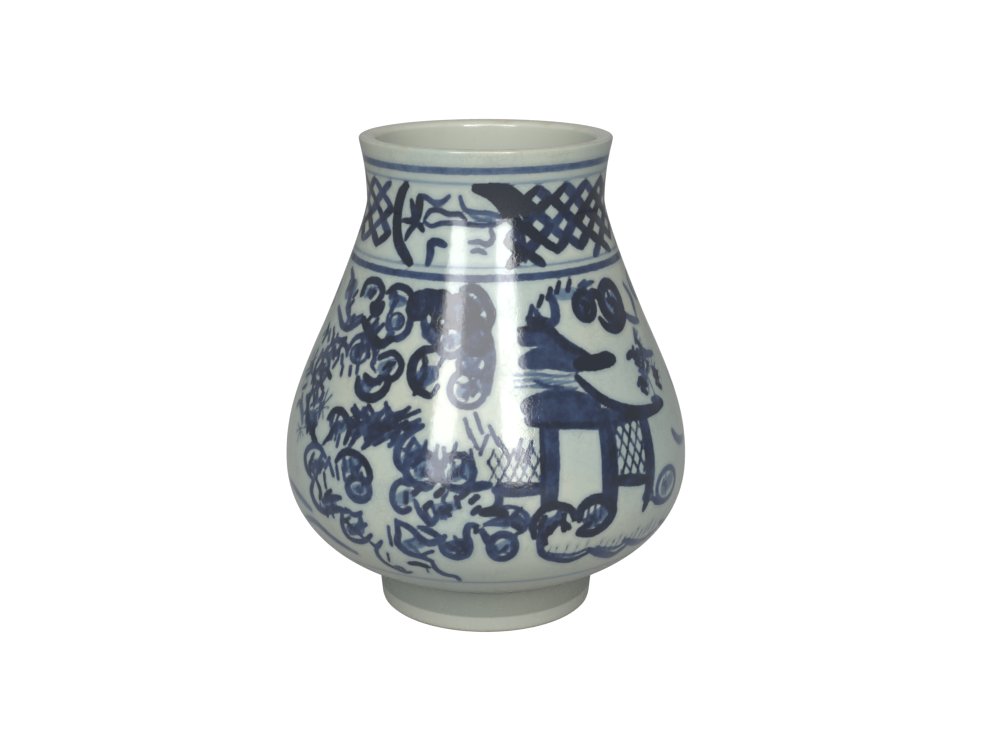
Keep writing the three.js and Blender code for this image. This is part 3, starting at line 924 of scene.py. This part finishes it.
def crackle(tree, place, cloudy):
    """A bent net of fine cracks, clear in some places and faint in others."""
    sway = add_node(tree, "ShaderNodeTexNoise", Vector=place, Scale=130.0).out(1)
    bent = add_node(tree, "ShaderNodeVectorMath", {"operation": "MULTIPLY_ADD"}, _0=sway,
                    _1=(CRACK_SWAY, CRACK_SWAY, CRACK_SWAY), _2=place).out(0)
    net = add_node(tree, "ShaderNodeTexVoronoi", {"feature": "DISTANCE_TO_EDGE"}, Vector=bent,
                   Scale=CRACKS_PER_METRE).out(0)
    return net.between(0.045, 0.01) * cloudy.between(0.36, 0.62)


def specks(tree, place, broad):
    """Small spots of iron in the warmer patches."""
    near = add_node(tree, "ShaderNodeTexVoronoi", Vector=place, Scale=SPECKS_PER_METRE).out(0)
    return near.between(0.075, 0.03) * broad.between(0.5, 0.62)


print("glaze colours:", GLAZE_COOL, GLAZE_WARM)

# %% [markdown]
# The glaze is paler inside and brown on the lip's edge, where it runs thin over the body. Towards the foot it
# gets painted shade, and the crease above the foot a dark band of pooled glaze and painted shade.

# %% The glaze from foot to lip, with painted shade low down
INSIDE = (0.40, 0.41, 0.35)
# Painted shade that darkens the glaze towards the foot.
UNDERSIDE_SHADE = (0.15, 0.165, 0.15)
# A dark band in the crease above the foot: pooled glaze and painted shade.
POOLED_GLAZE_AND_SHADE = (0.07, 0.07, 0.055)
LIP_BROWN = (0.30, 0.225, 0.12)


def by_place_and_painted_shade(tree, colour, height, cloudy):
    """The glaze's colour changed by its place on the jar, with painted shade low down; heights are in metres.
    """
    inside = 1 - stored(tree, "outside")
    colour = mixed(tree, inside * 0.7, colour, INSIDE)
    # Painted shade: darker towards the foot.
    colour = mixed(tree, height.between(0.085, 0.02) * 0.3, colour, UNDERSIDE_SHADE)
    # Pooled glaze and painted shade in the crease above the foot.
    crease_pool_and_shade = height.between(0.0275, 0.0215) * height.between(0.0185, 0.0208)
    colour = mixed(tree, crease_pool_and_shade * 0.55, colour, POOLED_GLAZE_AND_SHADE)
    lip = height.between(0.2072, 0.2094) * (0.12 + 0.6 * cloudy.between(0.5, 0.7))
    return mixed(tree, lip * 0.6, colour, LIP_BROWN)


print("lip brown:", LIP_BROWN)

# %% [markdown]
# The cobalt is nearly black where the brush was loaded and blue where it ran thin. Its edge is a little
# ragged, and a faint halo has bled past it.

# %% The cobalt
HALO = (0.085, 0.125, 0.165)
INK_STOPS = ((0.0, (0.19, 0.245, 0.25)), (0.3, (0.075, 0.115, 0.155)), (0.55, (0.023, 0.041, 0.088)),
             (0.78, (0.008, 0.014, 0.039)), (1.0, (0.004, 0.006, 0.014)))


def cobalt(tree, colour, place, broad, cloudy, fine):
    """The colour with the painting in it, and where the ink is."""
    edge = stored(tree, "stroke_edge")
    ragged = edge + (fine - 0.5) * 0.9 + (cloudy - 0.5) * 0.6
    inked = ragged.between(0.32, -0.32)
    loaded = 0.55 + 0.9 * noise(place, 150, 4.0, 0.6)
    strength = stored(tree, "stroke_ink") * loaded + (broad - 0.5) * 0.2 + (fine - 0.5) * 0.25
    strength = strength + edge.between(-0.1, -1.4) * 0.08
    blue = add_node(tree, "ShaderNodeValToRGB", {"stops": INK_STOPS}, Fac=strength).out(0)
    colour = mixed(tree, ragged.between(2.4, -0.3) * 0.38, colour, HALO)
    return mixed(tree, inked * 0.97, colour, blue), inked


print("ink stops:", len(INK_STOPS))

# %% [markdown]
# Colour, roughness and a slight bump go into one shader. The foot has thinner glaze, darkened with painted
# shade, and a bare resting edge.

# %% The two glazes
# The foot's colours are darker than the body's: thinner glaze, and painted shade under the belly.
FOOT_COOL_SHADED = (0.17, 0.195, 0.17)
FOOT_WARM_SHADED = (0.19, 0.20, 0.16)
BARE_CLAY = (0.24, 0.15, 0.075)


def glaze(name, painted=True, cool=GLAZE_COOL, warm=GLAZE_WARM):
    """Grey-green glaze with cracks, specks and, on the body, the painting under it."""
    material = bpy.data.materials.new(name)
    material.use_nodes = True
    tree = material.node_tree
    shader = tree.nodes["Principled BSDF"]
    place = add_node(tree, "ShaderNodeTexCoord").out("Object")
    height = add_node(tree, "ShaderNodeSeparateXYZ", Vector=place).out(2)
    broad = noise(place, 16)
    cloudy = noise(place, 70, 4.0)
    fine = noise(place, 420, 3.0, 0.6)
    cracks = crackle(tree, place, cloudy)
    colour = ground(tree, broad, cloudy, fine, cool, warm)
    colour = mixed(tree, cracks * 0.26, colour, CRACK)
    colour = mixed(tree, specks(tree, place, broad) * 0.5, colour, IRON)
    colour = by_place_and_painted_shade(tree, colour, height, cloudy)
    bump = fine * 0.25 + noise(place, 1500, 2.0, 0.5) * 0.1 - cracks * 0.06
    if painted:
        colour, inked = cobalt(tree, colour, place, broad, cloudy, fine)
        bump = bump - inked * 0.12
    tree.links.new(colour.socket, shader.inputs["Base Color"])
    rough = 0.07 + 0.10 * cloudy.between(0.42, 0.7) + 0.12 * fine.between(0.55, 0.8)
    tree.links.new(rough.socket, shader.inputs["Roughness"])
    relief = add_node(tree, "ShaderNodeBump", Strength=0.16, Distance=0.0009, Height=bump).out(0)
    tree.links.new(relief.socket, shader.inputs["Normal"])
    shader.inputs["IOR"].default_value = 1.5
    return material


def foot_glaze():
    """Thin glaze over the turned foot, darkened with painted shade, with a bare brown resting edge."""
    material = glaze("foot_glaze", False, FOOT_COOL_SHADED, FOOT_WARM_SHADED)
    tree = material.node_tree
    shader = tree.nodes["Principled BSDF"]
    place = add_node(tree, "ShaderNodeTexCoord").out("Object")
    height = add_node(tree, "ShaderNodeSeparateXYZ", Vector=place).out(2)
    ragged = noise(place, 120.0, 3.0, 0.5)
    bare = (height + (ragged - 0.5) * 0.0016).between(0.0016, 0.0004)
    glazed = Wire(tree, shader.inputs["Base Color"].links[0].from_socket)
    colour = mixed(tree, bare * 0.85, glazed, BARE_CLAY)
    tree.links.new(colour.socket, shader.inputs["Base Color"])
    rough = 0.22 + bare * 0.55 + ragged.between(0.4, 0.7) * 0.12
    tree.links.new(rough.socket, shader.inputs["Roughness"])
    return material


body_glaze = glaze("body_glaze")
for piece in (lower, upper, neck):
    piece.data.materials.append(body_glaze)
foot.data.materials.append(foot_glaze())
print("materials:", [m.name for m in bpy.data.materials])

# %% [markdown]
# The jar stands on a grey table that the camera sees as plain white, like a catalogue picture cut out of its
# background.

# %% Floor
FLOOR_SIZE = 24.0
TABLE_GREY = 0.4
PAPER_WHITE = 1.05


def pale_floor():
    """A wide plane that lights the jar like a grey table and looks white."""
    mesh = bpy.data.meshes.new("studio_floor")
    bm = bmesh.new()
    bmesh.ops.create_grid(bm, x_segments=2, y_segments=2, size=FLOOR_SIZE / 2)
    bm.to_mesh(mesh)
    bm.free()
    material = bpy.data.materials.new("floor_paint")
    material.use_nodes = True
    tree = material.node_tree
    paint = tree.nodes["Principled BSDF"]
    paint.inputs["Base Color"].default_value = (TABLE_GREY, TABLE_GREY, TABLE_GREY, 1)
    paint.inputs["Roughness"].default_value = 0.9
    white = add_node(tree, "ShaderNodeEmission", Color=(1, 1, 1, 1), Strength=PAPER_WHITE).out(0)
    seen = add_node(tree, "ShaderNodeLightPath").out("Is Camera Ray")
    surface = add_node(tree, "ShaderNodeMixShader", _0=seen, _1=Wire(tree, paint.outputs[0]), _2=white).out(0)
    tree.links.new(surface.socket, tree.nodes["Material Output"].inputs["Surface"])
    mesh.materials.append(material)
    floor = bpy.data.objects.new("studio_floor", mesh)
    bpy.context.collection.objects.link(floor)
    return floor


floor = pale_floor()
print("floor", FLOOR_SIZE, "m wide")

# %% [markdown]
# Two tall soft windows beside the camera give the two long highlights on the jar's front. A wide soft light
# above them and a dim world fill the rest.

# %% Lights
AIM_Z = 0.11
WORLD_STRENGTH = 0.36


def window(name, turn, rise, away, wide, high, power):
    """A soft light at a bearing from the camera's side and a rise in degrees, facing the jar's middle."""
    light = bpy.data.lights.new(name, "AREA")
    light.shape = "RECTANGLE"
    light.size = wide
    light.size_y = high
    light.energy = power
    lamp = bpy.data.objects.new(name, light)
    a, e = math.radians(turn), math.radians(rise)
    lamp.location = (away * math.sin(a) * math.cos(e), -away * math.cos(a) * math.cos(e),
                     AIM_Z + away * math.sin(e))
    lamp.rotation_euler = (math.pi / 2 - e, 0, a)
    bpy.context.collection.objects.link(lamp)


window("left_window", turn=-25, rise=17, away=1.6, wide=0.36, high=1.0, power=8.0)
window("right_window", turn=17, rise=17, away=1.6, wide=0.38, high=1.0, power=11.5)
window("front_fill", turn=-4, rise=36, away=2.4, wide=2.4, high=1.6, power=58)
world = bpy.data.worlds.new("studio")
world.use_nodes = True
world.node_tree.nodes["Background"].inputs["Color"].default_value = (1, 1, 1, 1)
world.node_tree.nodes["Background"].inputs["Strength"].default_value = WORLD_STRENGTH
bpy.context.scene.world = world
bpy.context.scene.view_settings.view_transform = "Standard"
print("lights:", [light.name for light in bpy.data.lights])

# %% [markdown]
# The camera's place, tilt and lens come from a fit of the turned outline to the photograph.

# %% Camera
IMAGE_WIDTH = 1000
FOCAL_PIXELS = 1572
AXIS_PIXEL = 485.8
CAMERA_PLACE = (0, -0.672, 0.2935)
CAMERA_TILT = 15.83
camera = bpy.data.cameras.new("camera")
camera.sensor_width = 36
camera.lens = FOCAL_PIXELS / IMAGE_WIDTH * camera.sensor_width
camera.shift_x = (IMAGE_WIDTH / 2 - AXIS_PIXEL) / IMAGE_WIDTH
eye = bpy.data.objects.new("camera", camera)
eye.location = CAMERA_PLACE
eye.rotation_euler = (math.radians(90 - CAMERA_TILT), 0, 0)
bpy.context.collection.objects.link(eye)
bpy.context.scene.camera = eye
print("lens", round(camera.lens, 1), "mm")
